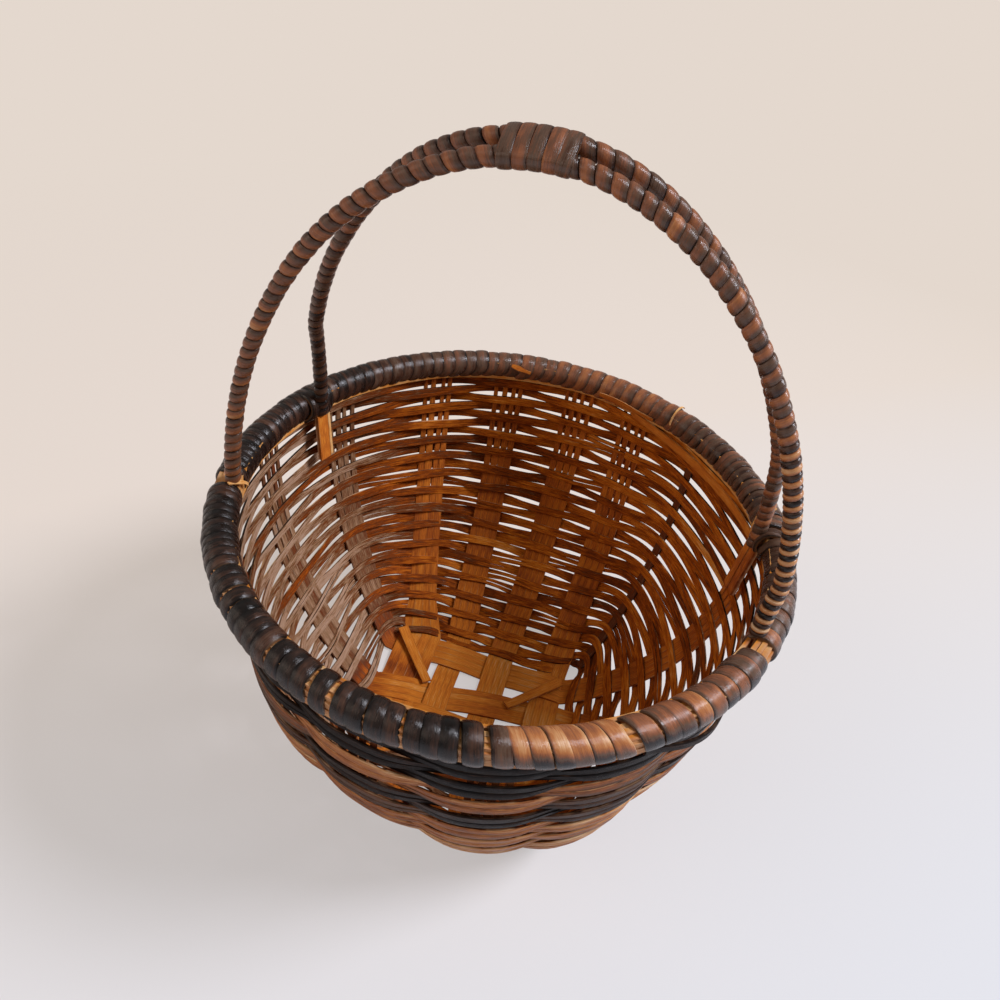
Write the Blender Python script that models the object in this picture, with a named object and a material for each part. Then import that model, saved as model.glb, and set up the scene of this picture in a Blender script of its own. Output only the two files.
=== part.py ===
"""A small hand-woven splint basket with a two-rod arched handle.

Origin: on the ground, under the middle of the rim. +X is the right foot of the handle,
+Y the rear, +Z up. All lengths are in metres.

Seven wide splints cross in the mat and turn up as fourteen stakes. A narrow fifteenth
stake stands in one corner, so that a weaver which goes round and round keeps changing
sides. Two half-round hoops clamp the stakes, and a lashing binds each stretch of rim
between the feet of the handle.
"""

import math

import bmesh
import bpy
from mathutils import Vector

# Clearances
SEAT_GAP = 0.0003          # between pieces that touch
HOOP_GAP = 0.0004          # between the lashing and the hoops in it
STAKE_PLAY = 0.00045       # between a stake and the hoop on each side of it
STRAND_GAP = 0.0005        # between the ends of two strands behind one stake

# Rim
RIM_RADIUS_X = 0.0950      # centre line of the rim, left to right
RIM_RADIUS_Y = 0.0990      # centre line of the rim, front to rear
RIM_HEIGHT = 0.1090        # centre line of the rim over the ground
RIM_TUBE_WIDTH = 0.0102    # across the lashed rim
RIM_TUBE_DEPTH = 0.0106    # from the top of the lashed rim to its underside
LASHING_THICKNESS = 0.0006
STAKE_INSET = 0.0025       # the stakes stand this far inside the rim's centre line
LASHING_STOP = 0.0043      # a lashing stops this far from a foot of the handle

# Mat and stakes
SPLINT_THICKNESS = 0.0008
SPLINT_WIDTH_MAT = 0.0112
SPLINT_WIDTH_RIM = 0.0130
SPLINT_PITCH = 0.0211      # from one splint of the mat to the next
MAT_BORDER = 0.0025        # from the mat's outer splint to where the arms turn up
MAT_SHIFT_X = -0.0043      # the mat's middle from the middle of the rim
MAT_SHIFT_Y = -0.0051
ODD_STAKE_WIDTH = 0.0035
ODD_STAKE_OUT = 0.0030     # the odd stake's foot from the mat's corner, both ways
STAKE_TOP = 0.0031         # top of the stakes over the rim's centre line

# Weavers
WEAVER_HEIGHT = 0.0029
WEAVER_THICKNESS = 0.0011
WEAVER_LEAD = 0.0007       # a weaver runs this far past a stake before it crosses over
FIRST_ROW = 0.0076         # middle of the first row from the mat's border, up the wall

# Handle
HANDLE_HALF_SPAN = 0.0889
HANDLE_RISE = 0.1215       # from the springing line to the middle of the rods
HANDLE_SPRING = 0.0025     # springing line over the rim's centre line
HANDLE_SHIFT_X = 0.0013
HANDLE_SHIFT_Y = -0.0015
ROD_DIAMETER = 0.0034
WRAP_THICKNESS = 0.0007
ROD_LIFT = 0.00166         # at the top the rear rod lies twice this much higher
SPREAD_LEFT = 0.0308       # half the distance between the rods at the left feet
SPREAD_RIGHT = 0.0274
ROD_BOW = 0.0025           # the rods bow this much further apart left of the binding
DRAWN_IN_RIGHT = 0.0073    # the rear rod's right shoulder from the front rod's, inwards
DRAWN_IN_LEFT = 0.0023
FRONT_FOOT_RISE = 0.0230   # over the rim's centre line the rods begin to bend to their feet
FRONT_FOOT_BEND = 0.0125   # height of the bend's middle over the rim's centre line
REAR_FOOT_RISE = 0.0400
REAR_FOOT_BEND = 0.0200
WRAP_STOP_GAP = 0.0004     # between the end of a rod's wrap and the hoops
TENON_SHOULDER = 0.0002    # height over which a rod narrows to its tongue or peg
TONGUE_WIDTH = 0.0030      # the front rod's ends, flat, between the hoops
TONGUE_THICKNESS = 0.0010
TONGUE_DEPTH = 0.0046      # below the rim's centre line
PEG_WIDTH = 0.0068         # the rear rod's ends, flat, inside the wall
PEG_THICKNESS = 0.0019
PEG_INSET = 0.0065         # from the rim's centre line
PEG_LENGTH = 0.0210        # below the rim's underside
PEG_LEAN = 0.0026          # the peg's end is this much further inside

# Binding at the top of the handle
BINDING_WIDTH = 0.0036
BINDING_THICKNESS = 0.0009
BINDING_PITCH = 0.0047
BINDING_GAP = 0.0004       # between the binding and the rods' wraps

# Brace strips on the mat
BRACE_WIDTH = 0.0046
BRACE_THICKNESS = 0.0010
LEFT_BRACE_FROM_X = -0.0370
LEFT_BRACE_FROM_Y = 0.0285
LEFT_BRACE_TO_X = -0.0175
LEFT_BRACE_TO_Y = 0.0040
RIGHT_BRACE_FROM_X = 0.0380
RIGHT_BRACE_FROM_Y = 0.0225
RIGHT_BRACE_TO_X = 0.0183
RIGHT_BRACE_TO_Y = 0.0033

# Counts, angles and shares
MAT_COLUMNS = 4            # splints that run front to rear
MAT_LINES = 3              # splints that run left to right
STRANDS = 6
TURNS_PER_STRAND = 5
BINDING_TURNS = 5
WALL_STATIONS = 12
WALL_STATION_SHARE = 1.5   # above 1 it crowds the stations where the wall curls most
MAT_TURN = math.radians(7)
CROSSING_SHARE = 0.16      # of the way to the next stake that a weaver's pad takes
RIM_STEP = math.radians(7.5)
LASHING_POINTS = 10
HANDLE_TURN = math.radians(4.3)
HANDLE_LEAN_SHARE = -0.128
HANDLE_STATIONS = 26
SPREAD_SHARE = 0.73        # below 1 the rods part sooner beside the binding
BOW_START = math.radians(101)
BOW_END = math.radians(150)
FOOT_STATIONS = 4
ROD_SIDES = 8
FLAT_SHARE = 0.25          # 1 gives an ellipse; lower gives squarer corners
BINDING_POINTS = 20
BINDING_ARC_SHARE = 0.4    # of a turn spent round each rod; the rest is the two flats
BINDING_PLACE = math.radians(3.7)  # the binding sits this far left of the handle's top

# Rim angle of each stake in degrees, anticlockwise from +X, how full the wall is there, and
# how early it curls outwards
STAKES = (
    (74, 3.0, 0.8), (91, 3.0, 0.8), (110.5, 3.0, 0.8), (130.5, 2.8, 0.8),
    (159, 2.5, 0.8), (185, 2.2, 0.8), (211, 2.3, 0.8),
    (242, 2.6, 0.8), (266, 3.1, 0.8), (290, 2.6, 0.6), (314, 1.9, 0.48),
    (335.5, 2.4, 0.6), (358, 2.8, 0.7), (382, 3.0, 0.8),
    (414, 3.0, 0.8),
)
# Rim angle of each foot in degrees: front rod and rear rod, left and right
FOOT_FRONT_LEFT = math.radians(204.5)
FOOT_REAR_LEFT = math.radians(168)
FOOT_FRONT_RIGHT = math.radians(345.5)
FOOT_REAR_RIGHT = math.radians(377)

# Colours, linear
STRAW = (0.36, 0.17, 0.055)
HONEY = (0.42, 0.22, 0.08)
TAN = (0.30, 0.15, 0.07)
RED_BROWN = (0.16, 0.055, 0.025)
BLACK_BROWN = (0.030, 0.020, 0.018)
GREY_BROWN = (0.11, 0.065, 0.045)

# Worked out from the sizes above
MAT_MIDDLE = SPLINT_THICKNESS + SEAT_GAP / 2
MAT_TOP = 2 * MAT_MIDDLE
MAT_STEP = (SPLINT_THICKNESS + SEAT_GAP) / 2
MAT_HALF_X = (MAT_COLUMNS - 1) / 2 * SPLINT_PITCH + SPLINT_WIDTH_MAT / 2 + MAT_BORDER
MAT_HALF_Y = (MAT_LINES - 1) / 2 * SPLINT_PITCH + SPLINT_WIDTH_MAT / 2 + MAT_BORDER
MAT_SHIFT = Vector((MAT_SHIFT_X, MAT_SHIFT_Y, 0))
WEAVER_OFFSET = SPLINT_THICKNESS / 2 + SEAT_GAP + WEAVER_THICKNESS / 2
ROWS = STRANDS * TURNS_PER_STRAND
RIM_UNDERSIDE = RIM_TUBE_DEPTH / 2
LAST_ROW_DROP = RIM_UNDERSIDE + SEAT_GAP + WEAVER_HEIGHT / 2
WRAP_BORE = ROD_DIAMETER + 2 * SEAT_GAP
WRAP_DIAMETER = WRAP_BORE + 2 * WRAP_THICKNESS
ROD_SPACE = math.sqrt(((WRAP_DIAMETER + SEAT_GAP) / 2) ** 2 - ROD_LIFT ** 2)
HOOP_TOP = RIM_TUBE_DEPTH / 2 - LASHING_THICKNESS - HOOP_GAP
WRAP_STOP = HOOP_TOP + WRAP_STOP_GAP
UP = Vector((0, 0, 1))


def clear_scene():
    for thing in list(bpy.data.objects):
        bpy.data.objects.remove(thing, do_unlink=True)


def finish(colour, roughness):
    """A plain plant-fibre finish."""
    name = "fibre_%02d_%02d_%02d" % tuple(round(100 * part) for part in colour)
    material = bpy.data.materials.get(name) or bpy.data.materials.new(name)
    material.use_nodes = True
    shader = material.node_tree.nodes["Principled BSDF"]
    shader.inputs["Base Color"].default_value = (*colour, 1)
    shader.inputs["Roughness"].default_value = roughness
    shader.inputs["Metallic"].default_value = 0
    return material


def add_object(name, mesh, colour, roughness=0.55):
    mesh.materials.append(finish(colour, roughness))
    thing = bpy.data.objects.new(name, mesh)
    bpy.context.scene.collection.objects.link(thing)
    return thing


def mesh_of(name, points, faces, smooth):
    mesh = bpy.data.meshes.new(name)
    mesh.from_pydata([tuple(point) for point in points], [], faces)
    work = bmesh.new()
    work.from_mesh(mesh)
    bmesh.ops.recalc_face_normals(work, faces=work.faces)
    work.to_mesh(mesh)
    work.free()
    if smooth:
        mesh.shade_smooth()
        mesh.set_sharp_from_angle(angle=math.radians(50))
    return mesh


def wall_faces(start, rings, sides, closed):
    """Quads between rings of points that follow each other in the point list."""
    faces = []
    last = rings if closed else rings - 1
    for ring in range(last):
        here = start + ring * sides
        there = start + (ring + 1) % rings * sides
        for side in range(sides):
            after = (side + 1) % sides
            faces.append((here + side, here + after, there + after, there + side))
    return faces


def cap_faces(start, sides):
    """Quads across a ring, from its first half to its second."""
    half = sides // 2
    return [(start + i, start + i + 1, start + sides - 2 - i, start + sides - 1 - i)
            for i in range(half - 1)]


def sweep(name, rings, colour, closed=False, smooth=False):
    """A solid through rings of points, with capped ends unless it closes on itself."""
    sides = len(rings[0])
    points = [point for ring in rings for point in ring]
    faces = wall_faces(0, len(rings), sides, closed)
    if not closed:
        faces += cap_faces(0, sides)
        faces += cap_faces((len(rings) - 1) * sides, sides)
    return add_object(name, mesh_of(name, points, faces, smooth), colour)


def bored_sweep(name, outer, inner, colour):
    """A tube with its bore open at both ends."""
    sides = len(outer[0])
    count = len(outer)
    points = [point for ring in outer + inner for point in ring]
    bore = count * sides
    faces = wall_faces(0, count, sides, False) + wall_faces(bore, count, sides, False)
    for end in (0, (count - 1) * sides):
        for side in range(sides):
            after = (side + 1) % sides
            faces.append((end + side, end + after, bore + end + after, bore + end + side))
    return add_object(name, mesh_of(name, points, faces, True), colour)


def strip_ring(centre, across, normal, width, thickness):
    """The four corners of a flat strip's section."""
    side = across * (width / 2)
    face = normal * (thickness / 2)
    return [centre + side + face, centre - side + face,
            centre - side - face, centre + side - face]


def rim_normal(angle):
    return Vector((math.cos(angle) / RIM_RADIUS_X, math.sin(angle) / RIM_RADIUS_Y, 0)).normalized()


def rim_point(angle, out, rise):
    """A point out from the rim's centre line and above it."""
    centre = Vector((RIM_RADIUS_X * math.cos(angle), RIM_RADIUS_Y * math.sin(angle), RIM_HEIGHT))
    return centre + rim_normal(angle) * out + UP * rise


def blend(a, b, share):
    return a * (1 - share) + b * share


def turned(x, y):
    """A direction or place on the mat, which lies turned under the rim."""
    return Vector((x * math.cos(MAT_TURN) - y * math.sin(MAT_TURN),
                   x * math.sin(MAT_TURN) + y * math.cos(MAT_TURN), 0))


class Stake:
    """One arm of a splint on the wall: its middle line, directions and width."""

    def __init__(self, foot, across, angle, bulge, width_mat, width_rim):
        self.width_mat = width_mat
        self.width_rim = width_rim
        fullness, curl = bulge
        top = rim_point(angle, -STAKE_INSET, 0)
        normal = rim_normal(angle)
        rim_across = Vector((-normal.y, normal.x, 0))
        self.points = []
        acrosses = []
        for station in range(WALL_STATIONS + 1):
            rise = (station / WALL_STATIONS) ** WALL_STATION_SHARE
            reach = (1 - (1 - rise) ** fullness) ** curl
            point = blend(foot, top, reach)
            point.z = blend(foot.z, top.z, rise)
            self.points.append(point)
            acrosses.append(blend(across, rim_across, reach).normalized())
        self.points.append(self.points[-1] + UP * STAKE_TOP)
        acrosses.append(rim_across)
        outward = Vector((across.y, -across.x, 0))
        self.frames = []
        self.lengths = [0.0]
        for index, point in enumerate(self.points):
            after = self.points[min(index + 1, len(self.points) - 1)]
            if index == 0:
                climb = outward + (after - point).normalized()
            else:
                before = self.points[index - 1]
                climb = (point - before).normalized() + (after - point).normalized()
                self.lengths.append(self.lengths[-1] + (point - before).length)
            climb.normalize()
            side = acrosses[index]
            side = (side - climb * side.dot(climb)).normalized()
            self.frames.append((side, climb, side.cross(climb)))
        self.rim_length = self.lengths[-2]

    def width(self, length):
        return blend(self.width_mat, self.width_rim, min(length / self.rim_length, 1))

    def at(self, length):
        """Point, direction across, up the stake and out of the wall, at a length up it."""
        index = 0
        while index < len(self.lengths) - 2 and self.lengths[index + 1] < length:
            index += 1
        share = (length - self.lengths[index]) / (self.lengths[index + 1] - self.lengths[index])
        point = blend(self.points[index], self.points[index + 1], share)
        mixed = [blend(a, b, share).normalized()
                 for a, b in zip(self.frames[index], self.frames[index + 1])]
        return point, mixed[0], mixed[1], mixed[2]

    def length_at_height(self, height):
        """Length up the stake at which it reaches a height."""
        for index in range(1, len(self.points)):
            low, high = self.points[index - 1].z, self.points[index].z
            if height <= high:
                share = (height - low) / (high - low)
                return blend(self.lengths[index - 1], self.lengths[index], share)
        return self.lengths[-1]

    def rings(self, skip=0):
        """Sections of the strip from the mat to the rim; across points anticlockwise."""
        rings = []
        for index in range(skip, len(self.points)):
            side, _, normal = self.frames[index]
            rings.append(strip_ring(self.points[index], side, normal,
                                    self.width(self.lengths[index]), SPLINT_THICKNESS))
        return rings


def column_x(column):
    """Middle of a front-to-rear splint, counted from the left."""
    return (column - (MAT_COLUMNS - 1) / 2) * SPLINT_PITCH


def line_y(line):
    """Middle of a left-to-right splint, counted from the rear."""
    return ((MAT_LINES - 1) / 2 - line) * SPLINT_PITCH


def make_stakes():
    """The fifteen stakes, anticlockwise from the rear right."""
    feet = []
    for column in reversed(range(MAT_COLUMNS)):
        feet.append((turned(column_x(column), MAT_HALF_Y), turned(-1, 0)))
    for line in range(MAT_LINES):
        feet.append((turned(-MAT_HALF_X, line_y(line)), turned(0, -1)))
    for column in range(MAT_COLUMNS):
        feet.append((turned(column_x(column), -MAT_HALF_Y), turned(1, 0)))
    for line in reversed(range(MAT_LINES)):
        feet.append((turned(MAT_HALF_X, line_y(line)), turned(0, 1)))
    corner = turned(MAT_HALF_X + ODD_STAKE_OUT, MAT_HALF_Y + ODD_STAKE_OUT)
    feet.append((corner, turned(-1, 1).normalized()))
    stakes = []
    for index, ((foot, across), (degrees, *bulge)) in enumerate(zip(feet, STAKES)):
        odd = index == len(feet) - 1
        widths = (ODD_STAKE_WIDTH, ODD_STAKE_WIDTH) if odd else (SPLINT_WIDTH_MAT, SPLINT_WIDTH_RIM)
        foot = foot + MAT_SHIFT + UP * MAT_MIDDLE
        stakes.append(Stake(foot, across, math.radians(degrees), bulge, *widths))
    return stakes


def over(column, line):
    """Whether the front-to-rear splint lies on top where the two cross."""
    return (column + line) % 2 == 0


def mat_rings(places, tops, along, across):
    """Sections of a splint through the mat, over and under the splints that it crosses."""
    rings = []
    pad = SPLINT_WIDTH_MAT / 2 + WEAVER_LEAD
    for place, top in zip(places, tops):
        rise = UP * (MAT_MIDDLE + (MAT_STEP if top else -MAT_STEP))
        for end in (-pad, pad):
            centre = MAT_SHIFT + along * (place + end) + rise
            rings.append((centre, across))
    return rings


def splint(name, arm_from, arm_to, base, places, tops, along, across, colour):
    """One splint: up one wall, through the mat and up the other wall."""
    middle = [strip_ring(base + centre, side, -UP, SPLINT_WIDTH_MAT, SPLINT_THICKNESS)
              for centre, side in mat_rings(places, tops, along, across)]
    flip = (1, 0, 3, 2)
    start = list(reversed(arm_from.rings()))
    end = [[ring[i] for i in flip] for ring in arm_to.rings()]
    if (start[-1][0] - start[-1][1]).dot(across) < 0:
        start = [[ring[i] for i in flip] for ring in start]
        end = arm_to.rings()
    sweep(name, start + middle + end, colour)


def make_splints(stakes):
    rear = stakes[0:MAT_COLUMNS][::-1]
    left = stakes[MAT_COLUMNS:MAT_COLUMNS + MAT_LINES]
    front = stakes[MAT_COLUMNS + MAT_LINES:2 * MAT_COLUMNS + MAT_LINES]
    right = stakes[2 * MAT_COLUMNS + MAT_LINES:2 * (MAT_COLUMNS + MAT_LINES)][::-1]
    along_y, along_x = turned(0, 1), turned(1, 0)
    for column in range(MAT_COLUMNS):
        lines = list(reversed(range(MAT_LINES)))
        splint("front_rear_splint_%d" % (column + 1), front[column], rear[column],
               along_x * column_x(column), [line_y(line) for line in lines],
               [over(column, line) for line in lines], along_y, along_x, STRAW)
    for line in range(MAT_LINES):
        splint("left_right_splint_%d" % (line + 1), left[line], right[line],
               along_y * line_y(line), [column_x(column) for column in range(MAT_COLUMNS)],
               [not over(column, line) for column in range(MAT_COLUMNS)],
               along_x, along_y, HONEY)
    sweep("odd_stake", stakes[-1].rings(skip=1), BLACK_BROWN)


def row_length(stake, row):
    """Length up a stake at which a row of weaving crosses it."""
    top = stake.length_at_height(RIM_HEIGHT - LAST_ROW_DROP)
    return blend(FIRST_ROW, top, row / ROWS)


def weaver_ring(stake, crossing, shift, sway, stakes):
    """Section of a weaver beside a stake; shift is its place across the stake."""
    row = (crossing + sway) / len(stakes)
    point, side, climb, normal = stake.at(row_length(stake, row))
    face = 1 if crossing % 2 == 0 else -1
    centre = point + side * shift + normal * (face * WEAVER_OFFSET)
    return strip_ring(centre, climb, normal, WEAVER_HEIGHT, WEAVER_THICKNESS)


def make_weavers(stakes):
    """Strands that spiral up the wall, in front of one stake and behind the next."""
    shades = (TAN, TAN, RED_BROWN, RED_BROWN, GREY_BROWN, BLACK_BROWN)
    crossings = TURNS_PER_STRAND * len(stakes)
    for strand in range(STRANDS):
        rings = []
        first = strand * crossings
        for crossing in range(first, first + crossings + 1):
            stake = stakes[crossing % len(stakes)]
            row = crossing / len(stakes)
            reach = stake.width(row_length(stake, row)) / 2 + WEAVER_LEAD
            ends = [(-reach, -CROSSING_SHARE), (reach, CROSSING_SHARE)]
            if crossing == first:
                ends[0] = (STRAND_GAP / 2, 0)
            if crossing == first + crossings:
                ends[1] = (-STRAND_GAP / 2, 0)
            for shift, sway in ends:
                rings.append(weaver_ring(stake, crossing, shift, sway, stakes))
        sweep("weaver_%d" % (strand + 1), rings, shades[strand])


def rim_angles(start, end):
    """Angles of the rim's sections from start to end, both kept."""
    angles = [start]
    step = math.floor(start / RIM_STEP) + 1
    while step * RIM_STEP < end - RIM_STEP / 3:
        if step * RIM_STEP > start + RIM_STEP / 3:
            angles.append(step * RIM_STEP)
        step += 1
    return angles + [end]


def hoop_section(flat, facing):
    """Half-round section of a hoop: its flat side stands at 'flat' and faces the stakes."""
    half_width = RIM_TUBE_WIDTH / 2 - LASHING_THICKNESS - HOOP_GAP
    half_depth = RIM_TUBE_DEPTH / 2 - LASHING_THICKNESS - HOOP_GAP
    corner = math.acos(min(facing * flat / half_width, 1))
    count = LASHING_POINTS // 2 if facing * flat < 0 else LASHING_POINTS // 3
    section = []
    for index in range(count):
        turn = corner * (1 - 2 * index / (count - 1))
        section.append((facing * half_width * math.cos(turn), half_depth * math.sin(turn)))
    return section


def make_hoops():
    turns = round(2 * math.pi / RIM_STEP)
    room = SPLINT_THICKNESS / 2 + STAKE_PLAY
    sections = (("inner_rim_hoop", hoop_section(-STAKE_INSET - room, -1), TAN),
                ("outer_rim_hoop", hoop_section(-STAKE_INSET + room, 1), HONEY))
    for name, section, colour in sections:
        rings = [[rim_point(turn * RIM_STEP, out, rise) for out, rise in section]
                 for turn in range(turns)]
        sweep(name, rings, colour, closed=True)


def lashing_section():
    """The lashing's section: round the hoops, open below where the stakes come in."""
    half_width = RIM_TUBE_WIDTH / 2
    half_depth = RIM_TUBE_DEPTH / 2
    room = SPLINT_THICKNESS / 2 + STAKE_PLAY
    start = -math.acos((-STAKE_INSET + room) / half_width)
    end = 2 * math.pi - math.acos((-STAKE_INSET - room) / half_width)
    outer = []
    inner = []
    for index in range(LASHING_POINTS):
        turn = blend(start, end, index / (LASHING_POINTS - 1))
        outer.append((half_width * math.cos(turn), half_depth * math.sin(turn)))
        inner.append(((half_width - LASHING_THICKNESS) * math.cos(turn),
                      (half_depth - LASHING_THICKNESS) * math.sin(turn)))
    return outer + inner[::-1]


def make_lashings():
    section = lashing_section()
    full = 2 * math.pi
    stretches = (("rim_lashing_front", FOOT_FRONT_LEFT, FOOT_FRONT_RIGHT, BLACK_BROWN),
                 ("rim_lashing_right", FOOT_FRONT_RIGHT, FOOT_REAR_RIGHT, GREY_BROWN),
                 ("rim_lashing_rear", FOOT_REAR_RIGHT, FOOT_REAR_LEFT + full, RED_BROWN),
                 ("rim_lashing_left", FOOT_REAR_LEFT, FOOT_FRONT_LEFT, BLACK_BROWN))
    stop = LASHING_STOP / RIM_RADIUS_X
    for name, start, end, colour in stretches:
        rings = [[rim_point(angle, out, rise) for out, rise in section]
                 for angle in rim_angles(start + stop, end - stop)]
        sweep(name, rings, colour, smooth=True)


def handle_point(turn, side):
    """Point on a rod's middle line; side is -1 for the front rod, +1 for the rear rod."""
    rise = math.sin(turn)
    leftness = (1 - math.cos(turn)) / 2
    spread = blend(SPREAD_RIGHT, SPREAD_LEFT, leftness)
    bow = min(max((turn - BOW_START) / (BOW_END - BOW_START), 0), 1)
    lateral = blend(ROD_SPACE, spread, (1 - rise) ** SPREAD_SHARE)
    lateral = side * (lateral + ROD_BOW * math.sin(math.pi * bow) ** 2)
    along = HANDLE_HALF_SPAN * math.cos(turn)
    if side > 0:
        drawn_in = DRAWN_IN_RIGHT if along > 0 else DRAWN_IN_LEFT
        along -= math.copysign(drawn_in, along) * abs(math.sin(2 * turn))
    height = HANDLE_RISE * rise
    x = along * math.cos(HANDLE_TURN) - lateral * math.sin(HANDLE_TURN)
    y = along * math.sin(HANDLE_TURN) + lateral * math.cos(HANDLE_TURN)
    y += HANDLE_LEAN_SHARE * height
    height += HANDLE_SPRING + side * ROD_LIFT * rise ** 2
    return Vector((x + HANDLE_SHIFT_X, y + HANDLE_SHIFT_Y, RIM_HEIGHT + height))


def foot_points(shoulder, knee, foot):
    """The bend from a rod's shoulder down to the rim, top first."""
    points = []
    for step in range(1, FOOT_STATIONS + 1):
        share = step / FOOT_STATIONS
        points.append(blend(blend(shoulder, knee, share), blend(knee, foot, share), share))
    return points


def rod_line(side, right_foot, left_foot):
    """Middle line of a rod from the end of its wrap on the right to that on the left."""
    inset = STAKE_INSET if side < 0 else PEG_INSET
    rise = FRONT_FOOT_RISE if side < 0 else REAR_FOOT_RISE
    bend = FRONT_FOOT_BEND if side < 0 else REAR_FOOT_BEND
    begin = math.asin((rise - HANDLE_SPRING) / HANDLE_RISE)
    arch = [handle_point(blend(begin, math.pi - begin, step / HANDLE_STATIONS), side)
            for step in range(HANDLE_STATIONS + 1)]
    right, left = (foot_points(shoulder, rim_point(angle, -inset, bend),
                               rim_point(angle, -inset, WRAP_STOP))
                   for angle, shoulder in ((right_foot, arch[0]), (left_foot, arch[-1])))
    return right[::-1] + arch + left


def rod_ring(centre, first, second, width, thickness, squareness=1):
    """An eight-sided section: round, or flattened to a slab."""
    ring = []
    for index in range(ROD_SIDES):
        turn = 2 * math.pi * index / ROD_SIDES
        across, face = (math.copysign(abs(part) ** squareness, part)
                        for part in (math.cos(turn), math.sin(turn)))
        ring.append(centre + first * (across * width / 2) + second * (face * thickness / 2))
    return ring


def round_rings(line, diameter):
    """Round sections along a line, square to it."""
    lateral = Vector((-math.sin(HANDLE_TURN), math.cos(HANDLE_TURN), 0))
    rings = []
    for index, point in enumerate(line):
        before = line[max(index - 1, 0)]
        after = line[min(index + 1, len(line) - 1)]
        tangent = (after - before).normalized()
        first = (lateral - tangent * lateral.dot(tangent)).normalized()
        rings.append(rod_ring(point, first, tangent.cross(first), diameter, diameter))
    return rings


def end_rings(side, angle):
    """Sections of a rod's flat end, top first: a tongue in front, a peg at the rear."""
    inward = -rim_normal(angle)
    first = Vector((inward.y, -inward.x, 0))
    if first.y < 0:
        first = -first
    top = WRAP_STOP - TENON_SHOULDER
    if side < 0:
        inset, low, lean, size = STAKE_INSET, -TONGUE_DEPTH, 0, (TONGUE_WIDTH, TONGUE_THICKNESS)
    else:
        low = -RIM_UNDERSIDE - PEG_LENGTH
        inset, lean, size = PEG_INSET, PEG_LEAN, (PEG_WIDTH, PEG_THICKNESS)
    places = ((top, inset), (low, inset + lean))
    return [rod_ring(rim_point(angle, -out, rise), first, inward, *size, FLAT_SHARE)
            for rise, out in places]


def make_handle():
    feet = (("front", -1, FOOT_FRONT_RIGHT, FOOT_FRONT_LEFT),
            ("rear", 1, FOOT_REAR_RIGHT, FOOT_REAR_LEFT))
    for name, side, right_foot, left_foot in feet:
        line = rod_line(side, right_foot, left_foot)
        rings = (end_rings(side, right_foot)[::-1] + round_rings(line, ROD_DIAMETER)
                 + end_rings(side, left_foot))
        sweep("%s_handle_rod" % name, rings, HONEY, smooth=True)
        bored_sweep("%s_rod_wrap" % name, round_rings(line, WRAP_DIAMETER),
                    round_rings(line, WRAP_BORE), GREY_BROWN)


def round_both(phase):
    """Where a turn round two rods stands at a share of the way: place across, and angle."""
    arc = BINDING_ARC_SHARE
    flat = 0.5 - arc
    if phase < arc:
        return 1, math.pi * (phase / arc - 0.5)
    if phase < arc + flat:
        return 1 - 2 * (phase - arc) / flat, math.pi / 2
    if phase < 2 * arc + flat:
        return -1, math.pi * ((phase - flat) / arc - 0.5)
    return -1 + 2 * (phase - 2 * arc - flat) / flat, 3 * math.pi / 2


def binding_line():
    """Helix round both rods at the top, and the directions of its strip."""
    half_height = WRAP_DIAMETER / 2 + BINDING_GAP + BINDING_THICKNESS / 2
    middle = math.pi / 2 + BINDING_PLACE
    arc = math.pi / BINDING_POINTS
    stations = []
    for step in range(BINDING_TURNS * BINDING_POINTS + 1):
        place = (step / BINDING_POINTS - BINDING_TURNS / 2) * BINDING_PITCH
        turn = middle + place / HANDLE_HALF_SPAN
        front, rear = handle_point(turn, -1), handle_point(turn, 1)
        tangent = (handle_point(turn + arc, 0) - handle_point(turn - arc, 0)).normalized()
        apart = rear - front
        apart -= tangent * apart.dot(tangent)
        lateral = apart.normalized()
        outward = lateral.cross(tangent)
        across, angle = round_both(step % BINDING_POINTS / BINDING_POINTS)
        normal = lateral * math.cos(angle) + outward * math.sin(angle)
        centre = (front + rear) / 2 + apart / 2 * across
        stations.append((centre + normal * half_height, tangent, normal))
    return stations


def make_binding():
    stations = binding_line()
    rings = [strip_ring(point, tangent, normal, BINDING_WIDTH, BINDING_THICKNESS)
             for point, tangent, normal in stations]
    sweep("top_binding", rings, RED_BROWN)
    gap = min((ring[0] - later[1]).length
              for ring, later in zip(rings, rings[BINDING_POINTS:]))
    print("least gap between the turns of the binding, in metres: %.5f" % gap)


def make_braces():
    """Two strips that lie across corners of the mat."""
    braces = (("left_brace_strip", LEFT_BRACE_FROM_X, LEFT_BRACE_FROM_Y,
               LEFT_BRACE_TO_X, LEFT_BRACE_TO_Y),
              ("right_brace_strip", RIGHT_BRACE_FROM_X, RIGHT_BRACE_FROM_Y,
               RIGHT_BRACE_TO_X, RIGHT_BRACE_TO_Y))
    rise = MAT_TOP + SEAT_GAP + BRACE_THICKNESS / 2
    for name, from_x, from_y, to_x, to_y in braces:
        start, end = turned(from_x, from_y), turned(to_x, to_y)
        across = (end - start).cross(UP).normalized()
        rings = [strip_ring(point + MAT_SHIFT + UP * rise, across, UP, BRACE_WIDTH,
                            BRACE_THICKNESS) for point in (start, end)]
        sweep(name, rings, HONEY)


def main():
    clear_scene()
    stakes = make_stakes()
    make_splints(stakes)
    make_weavers(stakes)
    make_hoops()
    make_lashings()
    make_handle()
    make_binding()
    make_braces()


main()
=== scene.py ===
"""The looks of a small hand-woven basket: split cane on a mat of crossed splints.

Woven and wound strips follow paths that no primitive can be edited into, so they are swept
in mesh code: one section carried along a path. All lengths are in metres.
"""

import math
import random
from bisect import bisect_right
from math import cos, pi, radians, sin

import bmesh
import bpy
from mathutils import Matrix, Vector


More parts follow.
